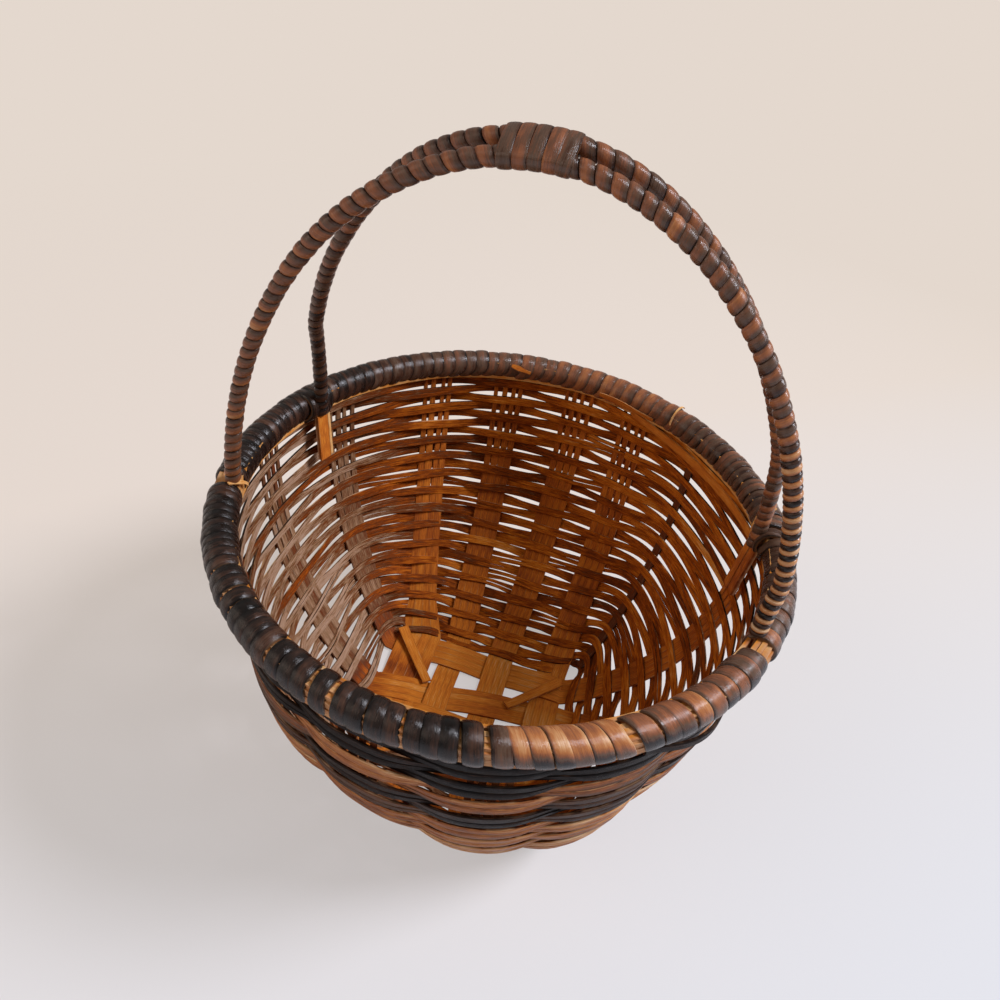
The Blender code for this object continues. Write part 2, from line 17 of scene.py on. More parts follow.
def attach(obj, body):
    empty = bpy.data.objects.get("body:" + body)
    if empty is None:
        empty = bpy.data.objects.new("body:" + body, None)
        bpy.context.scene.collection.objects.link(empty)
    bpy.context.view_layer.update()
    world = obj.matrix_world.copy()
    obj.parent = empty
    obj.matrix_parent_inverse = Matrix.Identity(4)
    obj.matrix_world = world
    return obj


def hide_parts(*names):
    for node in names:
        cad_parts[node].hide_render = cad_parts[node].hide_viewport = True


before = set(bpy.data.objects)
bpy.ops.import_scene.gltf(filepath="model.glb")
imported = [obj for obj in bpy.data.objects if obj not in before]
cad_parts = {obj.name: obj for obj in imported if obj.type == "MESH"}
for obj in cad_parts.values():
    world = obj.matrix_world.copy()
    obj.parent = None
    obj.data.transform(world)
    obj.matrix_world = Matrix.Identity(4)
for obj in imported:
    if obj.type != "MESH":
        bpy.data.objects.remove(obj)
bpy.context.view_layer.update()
MM = 0.001
UP = Vector((0, 0, 1))
FULL = 2 * pi

# Sizes near those of the solids
RIM_RADIUS_X = 95 * MM
RIM_RADIUS_Y = 99 * MM
RIM_HEIGHT = 109 * MM
RIM_HALF_WIDTH = 5.1 * MM
RIM_HALF_DEPTH = 5.3 * MM
STAKE_INSET = 2.5 * MM
STAKE_TOP = 3.1 * MM
SPLINT_THICKNESS = 0.8 * MM
SPLINT_WIDTH_WALL = 11.0 * MM
SPLINT_WIDTH_RIM = 12.6 * MM
# Across the mat: middle of each splint from the mat's middle, its width there and its slant
COLUMNS = ((-28.6 * MM, 18.6 * MM, 0), (-11.0 * MM, 10.4 * MM, 0), (9.7 * MM, 11.6 * MM, 0),
           (33.6 * MM, 13.2 * MM, 0))
LINES = ((21.9 * MM, 13.4 * MM, -0.05), (0.8 * MM, 12.4 * MM, 0.10), (-15.6 * MM, 17.2 * MM, 0))
MAT_STEP = 0.55 * MM
MAT_MIDDLE = 0.95 * MM
MAT_HALF_X = 39.75 * MM
MAT_HALF_Y = 29.2 * MM
MAT_SHIFT = Vector((-4.3 * MM, -5.1 * MM, 0))
MAT_TURN = radians(7)
ODD_STAKE_WIDTH = 3.5 * MM
ODD_STAKE_OUT = 3.0 * MM
FIRST_ROW = 1.7 * MM
LAST_ROW_DROP = 6.4 * MM
LOWEST = 1.3 * MM
GROUND_GAP = 0.2 * MM
ROWS = 30
STRANDS = 6
HANDLE_HALF_SPAN = 88.9 * MM
HANDLE_RISE = 121.5 * MM
HANDLE_SPRING = 2.5 * MM
HANDLE_SHIFT = Vector((1.3 * MM, -1.5 * MM, 0))
HANDLE_TURN = radians(4.3)
HANDLE_LEAN = -0.128
ROD_RADIUS = 1.7 * MM
ROD_SPACE = 2.32 * MM
ROD_LIFT = 1.66 * MM
SPREAD_LEFT = 30.8 * MM
SPREAD_RIGHT = 27.4 * MM
ROD_BOW = 2.5 * MM
BOW_BEGIN = radians(101)
BOW_REACH = radians(49)
DRAWN_IN = (7.3 * MM, 2.3 * MM)
WRAP_STOP = 4.7 * MM
# Each rod's feet: rim angles right and left, inset, rise and bend of the shoulder, and where
# the wrap ends
FEET = {-1: (345.5, 204.5, 2.5 * MM, 23.0 * MM, 12.5 * MM, WRAP_STOP),
        1: (377, 168, 6.9 * MM, 40.0 * MM, 20.0 * MM, -2.6 * MM)}
# Rim angle of each stake in degrees, how full the wall is there and how early it curls out
STAKES = (
    (74, 3.0, 0.8), (91, 3.0, 0.8), (110.5, 3.0, 0.8), (130.5, 2.8, 0.8), (159, 2.5, 0.8),
    (185, 2.2, 0.8), (211, 2.3, 0.8), (242, 2.6, 0.8), (266, 3.1, 0.8), (290, 2.9, 0.47),
    (314, 2.3, 0.39), (335.5, 2.4, 0.6), (358, 2.8, 0.7), (382, 3.0, 0.8), (414, 3.0, 0.8),
)

# Sections of strips: place across and through as shares of width and thickness, how much of
# it is the shiny skin, and how much paler or darker it is painted: painted highlights on
# crowns and upper edges, painted shade in grooves and on lower edges
STRAND_SECTION = (
    (-0.5, 0.2, 0.9, -0.4), (-0.36, 0.5, 1.0, -0.06), (0.38, 0.5, 1.0, 0.06), (0.5, 0.2, 0.9, 0.06),
    (0.5, -0.3, 0.2, 0.0), (0.4, -0.5, 0.0, 0.0), (-0.4, -0.5, 0.0, 0.0), (-0.5, -0.3, 0.2, 0.0),
)
SPLINT_SECTION = (
    (-0.5, 0.0, 0.5, 0), (-0.49, 0.46, 0.9, 0), (0.0, 0.5, 1.0, 0), (0.49, 0.46, 0.9, 0),
    (0.5, 0.0, 0.5, 0), (0.49, -0.46, 0.1, 0), (0.0, -0.5, 0.0, 0), (-0.49, -0.46, 0.1, 0),
)
# Beads: a painted highlight on the crown, painted shade in the grooves at both edges
BEAD_SECTION = (
    (-0.53, -0.8, 0.6, -0.34), (-0.51, -0.15, 0.8, -0.3), (-0.44, 0.24, 1.0, -0.2),
    (-0.28, 0.44, 1.0, -0.05), (0.0, 0.53, 1.0, 0.08), (0.28, 0.46, 1.0, 0.14),
    (0.44, 0.24, 0.9, 0.06), (0.51, -0.18, 0.8, -0.18), (0.53, -0.8, 0.6, -0.34),
)
# Ribbons: painted shade in the groove at one edge, a painted highlight along the other
RIBBON_SECTION = (
    (-0.53, -0.8, 0.6, -0.4), (-0.51, 0.04, 0.8, -0.34), (-0.46, 0.34, 1.0, -0.16),
    (-0.3, 0.48, 1.0, 0.0), (0.0, 0.53, 1.0, 0.0), (0.3, 0.47, 1.0, 0.02), (0.46, 0.3, 0.9, 0.1),
    (0.51, -0.02, 0.8, 0.16), (0.53, -0.8, 0.6, -0.3),
)

# The strip map is in centimetres
MAP_SCALE = 100
# How strong the painted light and shade of sections are: the factor at shade 0, and what a
# full shade adds
PAINTED_LIGHT_FACTOR = (0.4, 1.2)
# A strip's edge mark is 0 up to this share of its width from the middle, and 1 at the edge
EDGE_START = 0.4
SHARP_ANGLE = radians(36)


def blend(a, b, share):
    return a * (1 - share) + b * share


def clamp(value):
    return min(max(value, 0), 1)


def ending(share, part):
    """How far a share has come through the last part of the way to 1."""
    return max(0.0, (share - 1 + part) / part)


def find_span(lengths, length):
    """The span of a rising list that holds a length: both ends and the share between them."""
    high = min(max(bisect_right(lengths, length), 1), len(lengths) - 1)
    low = high - 1
    return low, high, (length - lengths[low]) / (lengths[high] - lengths[low])


def wander(seed, step):
    """A smooth random function of one number that turns about once in each step."""
    draw = random.Random(seed)
    waves = [(draw.uniform(0.5, 1.6) * FULL / step, draw.uniform(0, FULL)) for _ in range(5)]
    return lambda place: sum(sin(place * rate + phase) for rate, phase in waves) / 2.6


def row_at(table, place):
    """The values in a table of (place, value, ...) at a place, straight from row to row."""
    low, high, share = find_span([row[0] for row in table], place)
    return [blend(a, b, clamp(share)) for a, b in zip(table[low][1:], table[high][1:])]


def hump(offset, reach, power=2):
    """From 1 at offset 0 down to nothing on both sides."""
    return math.exp(-(offset / reach) ** power)


def shares(count):
    """From 0 to 1 in equal steps."""
    return [step / count for step in range(count + 1)]


def lengths_along(points):
    """The length of the way to each point of a line."""
    lengths = [0.0]
    for before, after in zip(points, points[1:]):
        lengths.append(lengths[-1] + (after - before).length)
    return lengths


def add_object(name, data):
    thing = bpy.data.objects.new(name, data)
    bpy.context.scene.collection.objects.link(thing)
    return thing


class Strands:
    """Strips that make up one piece, each swept along its stations.

    A station is (middle, across, outward, width, thickness, length so far, shade of the skin).
    Each point carries marks for the material: two map coordinates, then how much of it is
    skin, the skin's shade with the section's painted light and shade, the split side's shade,
    and how near it is to the strip's edge.
    """

    def __init__(self):
        self.points = []
        self.faces = []
        self.marks = []

    def add(self, stations, section, grain, core=0.5):
        """Core is the shade of the split side, or a function of the station's number."""
        sides = len(section)
        start = len(self.points)
        for index, station in enumerate(stations):
            middle, across, outward, width, thickness, length, tone = station
            inner = core(index) if callable(core) else core
            for aside, through, skin, paler in section:
                point = middle + across * (aside * width) + outward * (through * thickness)
                point.z = max(point.z, 0.0)
                self.points.append(point)
                # Painted light and shade of the section, scaled by the skin's shade
                paler *= PAINTED_LIGHT_FACTOR[0] + PAINTED_LIGHT_FACTOR[1] * tone
                edge = (abs(aside) - EDGE_START) / (0.5 - EDGE_START)
                self.marks.append((length * MAP_SCALE, (aside * width + grain) * MAP_SCALE, skin,
                                   max(0.0, tone + paler), inner, max(0.0, edge)))
        for ring in range(len(stations) - 1):
            here = start + ring * sides
            for side in range(sides):
                after = (side + 1) % sides
                self.faces.append((here + after, here + side,
                                   here + sides + side, here + sides + after))
        end = start + (len(stations) - 1) * sides
        self.faces.append(tuple(range(start, start + sides)))
        self.faces.append(tuple(range(end + sides - 1, end - 1, -1)))
        return self

    def make(self, name, material, slot, *nodes):
        """One closed piece that rides on the basket and stands in for the named nodes."""
        mesh = bpy.data.meshes.new(name)
        mesh.from_pydata([tuple(point) for point in self.points], [], self.faces)
        layer = mesh.uv_layers.new(name="strip")
        for loop in mesh.loops:
            layer.data[loop.index].uv = self.marks[loop.vertex_index][:2]
        tones = mesh.color_attributes.new(name="tone", type="FLOAT_COLOR", domain="POINT")
        for index, mark in enumerate(self.marks):
            tones.data[index].color = mark[2:6]
        mesh.materials.append(material)
        mesh.shade_smooth()
        mesh.set_sharp_from_angle(angle=SHARP_ANGLE)
        shape = bmesh.new()
        shape.from_mesh(mesh)
        bmesh.ops.recalc_face_normals(shape, faces=shape.faces)
        shape.to_mesh(mesh)
        shape.free()
        piece = add_object(name, mesh)
        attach(piece, "root")
        if nodes:
            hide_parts(*nodes)


# Materials

def linear(code):
    """An sRGB hex colour as linear light."""
    parts = [int(code[i:i + 2], 16) / 255 for i in (1, 3, 5)]
    return [(p / 12.92 if p <= 0.04045 else ((p + 0.055) / 1.055) ** 2.4) for p in parts] + [1]


def feed(tree, node, inputs):
    """Links the sockets among the inputs and sets the rest as values."""
    for key, value in inputs.items():
        if isinstance(value, bpy.types.NodeSocket):
            tree.links.new(value, node.inputs[key])
        else:
            node.inputs[key].default_value = value


def add_node(tree, kind, settings=None, inputs=None):
    node = tree.nodes.new("ShaderNode" + kind)
    for key, value in (settings or {}).items():
        setattr(node, key, value)
    feed(tree, node, inputs or {})
    return node


def math_node(tree, operation, *values, clamp=False):
    settings = {"operation": operation, "use_clamp": clamp}
    return add_node(tree, "Math", settings, dict(enumerate(values))).outputs["Value"]


def map_range(tree, value, low, high, to_low=0.0, to_high=1.0):
    return add_node(tree, "MapRange", inputs={
        "Value": value, "From Min": low, "From Max": high, "To Min": to_low,
        "To Max": to_high}).outputs["Result"]


def mix_colours(tree, factor, first, second):
    return add_node(tree, "Mix", {"data_type": "RGBA"}, {
        "Factor": factor, "A": first, "B": second}).outputs["Result"]


def colour_ramp(tree, factor, marks):
    node = add_node(tree, "ValToRGB", inputs={"Fac": factor})
    ramp = node.color_ramp
    while len(ramp.elements) < len(marks):
        ramp.elements.new(0.5)
    for element, (place, code) in zip(ramp.elements, marks):
        element.position = place
        element.color = linear(code)
    return node.outputs["Color"]


# From black through brown and tan to bare yellowish cane
SKIN_SHADES = (
    (0.0, "#0A0605"), (0.16, "#231712"), (0.28, "#4A2E20"), (0.38, "#584436"), (0.47, "#6C4632"),
    (0.58, "#8A5437"), (0.70, "#A8693C"), (0.84, "#C08D5E"), (1.0, "#DEBE9A"),
)
# From the grey of the left wall's painted sheen through dark brown to orange and pale cane
CORE_SHADES = (
    (0.0, "#A5846C"), (0.10, "#8C6746"), (0.22, "#5E3217"), (0.34, "#692C07"), (0.50, "#9A490D"),
    (0.68, "#C56C1A"), (0.82, "#D68428"), (1.0, "#DFAC6E"),
)
# Colour of the painted shade along the edges of the split side
EDGE_SHADE_COLOUR = "#1B0A02"
RUBBED = "#C39A73"
# Marks between which the split side goes over into the skin
SKIN_EDGE = (0.45, 0.75)


def cane(name, gloss, contrast, wear, spot, shine, edge_shade=0.3):
    """Split cane: a smooth skin on the outer side, long fibres on the split side.

    Gloss is the roughness of the skin, contrast the depth of the fibres, wear how far edges
    are rubbed, spot the depth of patches, shine the reflection and edge_shade how dark the
    painted shade along the split side's edges is.
    """
    material = bpy.data.materials.new(name)
    material.use_nodes = True
    tree = material.node_tree
    strip = add_node(tree, "UVMap", {"uv_map": "strip"}).outputs["UV"]
    tone = add_node(tree, "Attribute", {"attribute_name": "tone"})
    parts = add_node(tree, "SeparateColor", inputs={"Color": tone.outputs["Color"]})
    skin, shade, inner = (parts.outputs[key] for key in ("Red", "Green", "Blue"))
    edge = tone.outputs["Alpha"]

    def noise(along, across, scale, detail):
        """Noise stretched along the strip; one unit of the map is a centimetre."""
        place = add_node(tree, "Mapping", inputs={"Vector": strip, "Scale": (along, across, 1)})
        return add_node(tree, "TexNoise", inputs={
            "Vector": place.outputs["Vector"], "Scale": scale, "Detail": detail,
            "Roughness": 0.65}).outputs["Fac"]

    fibre = noise(0.3, 8, 4.5, 5)
    patch = noise(0.6, 1.4, 1.7, 3)
    fine = noise(0.8, 14, 6.0, 2)
    uneven = math_node(tree, "SUBTRACT", patch, 0.5)
    mottle = math_node(tree, "MULTIPLY_ADD", math_node(tree, "SUBTRACT", fibre, 0.5), contrast,
                       math_node(tree, "MULTIPLY", uneven, spot))
    core = colour_ramp(tree, math_node(tree, "ADD", inner, mottle, clamp=True), CORE_SHADES)
    # Painted shade: the edges of the split side are darkened where the strips shade each other
    core = mix_colours(tree, map_range(tree, edge, 0.55, 1.0, 0.0, edge_shade), core, linear(EDGE_SHADE_COLOUR))
    coat = colour_ramp(tree, math_node(tree, "MULTIPLY_ADD", mottle, 0.75, shade, clamp=True),
                       SKIN_SHADES)
    colour = mix_colours(tree, map_range(tree, skin, *SKIN_EDGE), core, coat)
    # Rubbed edges: the skin is worn off there, in places, but not where it is black
    rubbed = math_node(tree, "ADD", edge, math_node(tree, "MULTIPLY", uneven, 1.6))
    rubbed = math_node(tree, "MULTIPLY", map_range(tree, rubbed, 0.92, 1.08, 0.0, wear),
                       map_range(tree, shade, 0.2, 0.6, 0.12, 1.0))
    colour = mix_colours(tree, rubbed, colour, linear(RUBBED))
    # Patches of the skin are duller, and the split side is duller all over
    rough = math_node(tree, "ADD", map_range(tree, patch, 0.3, 0.7, gloss - 0.10, gloss + 0.16),
                      map_range(tree, skin, *SKIN_EDGE, 0.28, 0.0), clamp=True)
    relief = math_node(tree, "MULTIPLY_ADD", fine, 0.5, fibre)
    bump = add_node(tree, "Bump", inputs={
        "Height": relief, "Strength": 0.5, "Distance": 0.25 * MM})
    feed(tree, tree.nodes["Principled BSDF"], {
        "Base Color": colour, "Roughness": rough, "Specular IOR Level": shine,
        "Normal": bump.outputs["Normal"]})
    return material


# The wall

def rim_normal(angle):
    return Vector((cos(angle) / RIM_RADIUS_X, sin(angle) / RIM_RADIUS_Y, 0)).normalized()


def rim_point(angle, out, rise):
    centre = Vector((RIM_RADIUS_X * cos(angle), RIM_RADIUS_Y * sin(angle), RIM_HEIGHT))
    return centre + rim_normal(angle) * out + UP * rise


def rim_surface(angle, around, reach):
    """A point round the section of the rim: around is 0 outwards and a quarter turn above."""
    return rim_point(angle, (RIM_HALF_WIDTH + reach) * cos(around),
                     (RIM_HALF_DEPTH + reach) * sin(around))


def turned(x, y):
    """A direction or place on the mat, which lies turned under the rim."""
    return Vector((x * cos(MAT_TURN) - y * sin(MAT_TURN),
                   x * sin(MAT_TURN) + y * cos(MAT_TURN), 0))


class Stake:
    """One arm of a splint on the wall: its middle line and its directions."""

    STATIONS = 48

    def __init__(self, foot, across, angle, fullness, curl, width):
        self.width = width
        top = rim_point(angle, -STAKE_INSET, 0)
        normal = rim_normal(angle)
        rim_across = Vector((-normal.y, normal.x, 0))
        outward = Vector((across.y, -across.x, 0))
        self.points = []
        sides = []
        for station in shares(self.STATIONS):
            rise = station ** 1.5
            reach = (1 - (1 - rise) ** fullness) ** curl
            point = blend(foot, top, reach)
            point.z = blend(foot.z, top.z, rise)
            self.points.append(point)
            sides.append(blend(across, rim_across, reach).normalized())
        self.points.append(self.points[-1] + UP * STAKE_TOP)
        sides.append(rim_across)
        self.lengths = lengths_along(self.points)
        self.rim_length = self.lengths[-2]
        low, high, share = find_span([point.z for point in self.points],
                                     RIM_HEIGHT - LAST_ROW_DROP)
        self.row_top = blend(self.lengths[low], self.lengths[high], share)
        self.frames = []
        for index, (point, side) in enumerate(zip(self.points, sides)):
            after = self.points[min(index + 1, len(self.points) - 1)]
            start = (point - self.points[index - 1]).normalized() if index else outward
            climb = (start + (after - point).normalized()).normalized()
            side = (side - climb * side.dot(climb)).normalized()
            self.frames.append((side, climb, side.cross(climb)))

    def at(self, length):
        """The point at a length, and the directions across, up along and out of the wall."""
        low, high, share = find_span(self.lengths, length)
        mixed = (blend(a, b, share).normalized()
                 for a, b in zip(self.frames[low], self.frames[high]))
        return blend(self.points[low], self.points[high], share), *mixed


def make_stakes():
    """The fifteen stakes, anticlockwise from the rear right."""
    feet = []
    for sign in (1, -1):
        feet += [(turned(x, sign * MAT_HALF_Y), turned(-sign, 0)) for x, _, _ in COLUMNS[::-sign]]
        feet += [(turned(-sign * MAT_HALF_X, y - sign * slant * MAT_HALF_X), turned(0, -sign))
                 for y, _, slant in LINES[::sign]]
    widths = [SPLINT_WIDTH_WALL] * len(feet) + [ODD_STAKE_WIDTH]
    feet.append((turned(MAT_HALF_X + ODD_STAKE_OUT, MAT_HALF_Y + ODD_STAKE_OUT),
                 turned(-1, 1).normalized()))
    return [Stake(foot + MAT_SHIFT + UP * MAT_MIDDLE, across, radians(degrees), fullness,
                  curl, width)
            for (foot, across), width, (degrees, fullness, curl) in zip(feet, widths, STAKES)]


# Splints

# Where a splint splits, across its width
SLIT_SHARES = (-0.5, -0.26, 0.01, 0.25, 0.5)
SLIT_AT_RIM = 1.6 * MM
OVERLAP = 0.03 * MM
CROSSING_REACH = 8.9 * MM
MAT_STATIONS = 60
SPLINT_SKIN = 0.66
# Shade of the split side: paler on the mat, darker on the wall, as painted light and shade,
# and grey where the left wall has its painted sheen
SPLINT_CORES = (0.76, 0.60, 0.18)


def splint_path(arm_from, arm_to, base, crossings, half, along, across):
    """Stations of a whole splint: point, direction across, outward, share of the wall.

    The skin of every splint is below and outside, and the split side shows within.
    """
    path = []
    for arm in (arm_from, arm_to):
        part = []
        for index, point in enumerate(arm.points):
            side, _, normal = arm.frames[index]
            if side.dot(across) < 0:
                side = -side
            part.append((point, side, normal, arm.lengths[index] / arm.rim_length))
        if arm is arm_to:
            return path + part
        path = part[::-1]
        for share in shares(MAT_STATIONS)[1:-1]:
            place = blend(-half, half, share)
            rise = sum(hump(place - crossing, CROSSING_REACH, 4) * (1 if top else -1)
                       for crossing, top in crossings)
            point = base + MAT_SHIFT + along * place + UP * (MAT_MIDDLE + rise * MAT_STEP)
            path.append((point, across, -UP, 0.0))


def left_wall_sheen(point):
    """How far a point lies in the painted grey sheen of the left wall, from 0 to 1."""
    return clamp((-point.x - 0.9 * abs(point.y)) / (20 * MM) - 1.2)


def make_splint(name, path, mat_width, seed, material):
    """A whole splint, which splits into strips lengthwise on its way up both walls."""
    draw = random.Random(seed)
    strands = Strands()
    core_sway = wander(seed + 3, 0.05)
    lengths = lengths_along([station[0] for station in path])
    for low, high in zip(SLIT_SHARES, SLIT_SHARES[1:]):
        begins, leans, twists = ([draw.uniform(*limits) for _ in range(2)] for limits in
                                 ((0.42, 0.72), (-0.5 * MM, 0.5 * MM), (-0.16, 0.16)))
        luck = draw.uniform(-0.06, 0.06)
        stations = []
        cores = []
        for index, ((point, across, outward, up_wall), length) in enumerate(zip(path, lengths)):
            arm = 0 if index < len(path) / 2 else 1
            width = blend(mat_width, SPLINT_WIDTH_RIM, min(up_wall * 7, 1))
            split = ending(up_wall, 1 - begins[arm])
            own = (high - low) * width + OVERLAP - SLIT_AT_RIM * split
            place = (low + high) / 2 * width * blend(1.0, 1.22, split) + leans[arm] * split
            tilted = (outward + across * (twists[arm] * min(split * 2, 1))).normalized()
            stations.append((point + across * place, across, tilted, own, SPLINT_THICKNESS,
                             length, SPLINT_SKIN + luck))
            # Painted light and shade: paler on the mat, darker up the wall, grey in the left wall's
            # sheen
            core = blend(SPLINT_CORES[0], SPLINT_CORES[1], min(up_wall * 5, 1))
            core = blend(core, SPLINT_CORES[2], left_wall_sheen(point))
            cores.append(core + luck + 0.04 * core_sway(length))
        strands.add(stations, SPLINT_SECTION, seed * 0.113, cores.__getitem__)
    strands.make("split_" + name, material, "splint", name)


def make_splints(stakes, material):
    """Four splints from front to rear and three from left to right, over and under."""
    for kind, splints, others, arms, half, first, seed in (
            ("front_rear", COLUMNS, LINES, (stakes[7:11], stakes[3::-1]), MAT_HALF_Y, 0, 11),
            ("left_right", LINES, COLUMNS, (stakes[4:7], stakes[13:10:-1]), MAT_HALF_X, 1, 31)):
        for number, (place, width, slant) in enumerate(splints):
            crossings = [(other, (number + index) % 2 == first)
                         for index, (other, _, _) in enumerate(others)]
            along, across = turned(slant, 1), turned(1, 0)
            if splints is LINES:
                along, across = turned(1, slant), turned(0, 1)
            path = splint_path(arms[0][number], arms[1][number], across * place, crossings, half,
                               along, across)
            make_splint("%s_splint_%d" % (kind, number + 1), path, width, seed + number, material)


def make_odd_stake(stake, material):
    """The narrow dark stake, which begins just beside the mat."""
    stations = [(point, side, normal, ODD_STAKE_WIDTH, 0.9 * MM, length, 0.12)
                for point, (side, _, normal), length in
                zip(stake.points[3:], stake.frames[3:], stake.lengths[3:])]
    Strands().add(stations, SPLINT_SECTION, 0.4, 0.27).make(
        "dark_corner_stake", material, "odd_stake", "odd_stake")


# Weavers

WEAVER_HEIGHT = 3.9 * MM
WEAVER_THICKNESS = 0.95 * MM
INNER_OFFSET = 0.95 * MM
OUTER_OFFSET = 2.0 * MM
STEPS_PER_CROSSING = 12
# The rows are spread over the wall so that this one is the last
LAST_ROW = ROWS - 0.7
WEAVER_SLOTS = (*["weaver_tan"] * 2, *["weaver_red_brown"] * 2, "weaver_grey_brown",
                "weaver_black")
# Skin shade by row, from the bottom row up
ROW_SHADES = (
    (0, 0.42), (4, 0.54), (8, 0.76), (12, 0.66), (14, 0.8), (16, 0.56), (18, 0.74), (19.5, 0.64),
    (20.5, 0.2), (22.5, 0.12), (23.3, 0.5), (24.6, 0.54), (25.2, 0.0), (30, 0.0),
)
# Shade of the split side by rim angle in degrees, with painted light and shade: darker
# where the walls face away from the light, and grey on the left wall for its painted sheen
CORE_LIGHT_BY_ANGLE = (
    (0, 0.52), (60, 0.52), (110, 0.49), (140, 0.43), (158, 0.31), (172, 0.18), (188, 0.09),
    (215, 0.07), (235, 0.12), (255, 0.24), (275, 0.36), (300, 0.44), (360, 0.52),
)
# Height of the strands by rim angle, on both sides and added on the outer side alone
FILL_BY_ANGLE = ((0, 0.94), (60, 0.96), (140, 0.98), (172, 0.82), (215, 0.8), (240, 1.0),
                 (330, 1.0), (360, 0.94))
BULGE_BY_ANGLE = ((0, 0.2), (190, 0.3), (215, 0.8), (330, 0.8), (355, 0.2), (360, 0.2))


def row_point(stakes, crossing):
    """Point and directions of the wall at a crossing, which can lie between two stakes.

    Last is the share of the way from stake to stake that half a stake takes up.
    """
    index = math.floor(crossing)
    between = crossing - index
    share = min(crossing / len(stakes) / LAST_ROW, 1)
    stakes = [stakes[(index + step) % len(stakes)] for step in (-1, 0, 1, 2)]
    near = [stake.at(blend(FIRST_ROW, stake.row_top, share)) for stake in stakes]
    p0, p1, p2, p3 = (entry[0] for entry in near)
    point = (p1 * 2 + (p2 - p0) * between + (p0 * 2 - p1 * 5 + p2 * 4 - p3) * between ** 2
             + (p1 * 3 - p0 - p2 * 3 + p3) * between ** 3) * 0.5
    climb = blend(near[1][2], near[2][2], between).normalized()
    normal = blend(near[1][3], near[2][3], between).normalized()
    half_width = blend(stakes[1].width, stakes[2].width, between) / 2
    return point, climb, normal, half_width / (p2 - p1).length


def weave(crossing, reach):
    """A strand's swing from -1 inside of a stake to 1 outside, faster past wide stakes."""
    sharp = 1 / max(cos(pi * min(reach + 0.03, 0.4)), 0.3)
    wave = sharp * cos(pi * crossing)
    return wave / (1 + abs(wave) ** 5) ** 0.2


def make_loose_strand(material):
    """A dark strand of the top row that has sprung away from the wall at the right."""
    stations = []
    for share in shares(40):
        spring = sin(pi * share) ** 1.5
        angle = radians(blend(316, 338, share))
        middle = rim_point(angle, (0.2 + 3.6 * spring) * MM, (-11.0 - 1.6 * share) * MM)
        stations.append((middle, UP, rim_normal(angle), 3.2 * MM, 1.1 * MM, share * 0.04, 0.08))
    Strands().add(stations, STRAND_SECTION, 0.9, 0.3).make(
        "loose_strand", material, "weaver_black")


def make_weavers(stakes, material):
    """Each strand is a pair of strips side by side, with a wandering cleft between.

    Crossings count the stakes from the first strand's start, once round for each row.
    """
    crossings = ROWS // STRANDS * len(stakes)
    for strand in range(STRANDS):
        strands = Strands()
        halves = ([], [])
        cores = []
        length = 0.0
        before = None
        sway, breadth, colour, cleft, other = (
            wander(seed + strand, step) for seed, step in
            ((100, 2.1), (200, 3.3), (300, 5.0), (400, 4.0), (500, 2.7)))
        for step in range(crossings * STEPS_PER_CROSSING + 1):
            crossing = strand * crossings + step / STEPS_PER_CROSSING
            point, climb, normal, reach = row_point(stakes, crossing)
            wave = weave(crossing, reach)
            point = point + normal * (wave * (OUTER_OFFSET if wave > 0 else INNER_OFFSET))
            degrees = math.degrees(math.atan2(point.y, point.x)) % 360
            fill = row_at(FILL_BY_ANGLE, degrees)[0]
            point = point + climb * (sway(crossing) * (0.40 + 2.0 * (1 - fill)) * MM)
            if before is not None:
                length += (point - before).length
            before = point
            point.z = max(point.z, LOWEST)
            height = WEAVER_HEIGHT * (fill + 0.14 * breadth(crossing)
                                      + row_at(BULGE_BY_ANGLE, degrees)[0] * max(wave, 0))
            opening = max(0.0, cleft(crossing) - 0.5) * 0.6 * MM
            tone = row_at(ROW_SHADES, crossing / len(stakes))[0] + 0.09 * colour(crossing)
            # The split side's painted light and shade for the wall it is on, and random tone
            cores.append(row_at(CORE_LIGHT_BY_ANGLE, degrees)[0] + 0.14 * colour(crossing + 40)
                         + 0.08 * other(crossing))
            for part, up in zip(halves, (-0.5, 0.5)):
                own = height / 2 - opening / 2
                middle = (point + climb * (up * (own + opening))
                          + normal * (0.14 * MM * other(crossing + 9 * up)))
                middle.z = max(middle.z, own / 2 + GROUND_GAP)
                tilt = (normal + climb * (0.24 * up + 0.10 * other(crossing))).normalized()
                # Painted light and shade: the upper half is a little paler, the lower half a little
                # darker
                part.append((middle, climb, tilt, own + 0.02 * MM, WEAVER_THICKNESS, length,
                             clamp(tone + 0.06 * up)))
        for number, part in enumerate(halves):
            strands.add(part, STRAND_SECTION, 0.37 * strand + 0.19 * number, cores.__getitem__)
        strands.make("woven_strand_%d" % (strand + 1), material, WEAVER_SLOTS[strand],
                     "weaver_%d" % (strand + 1))


# Rim

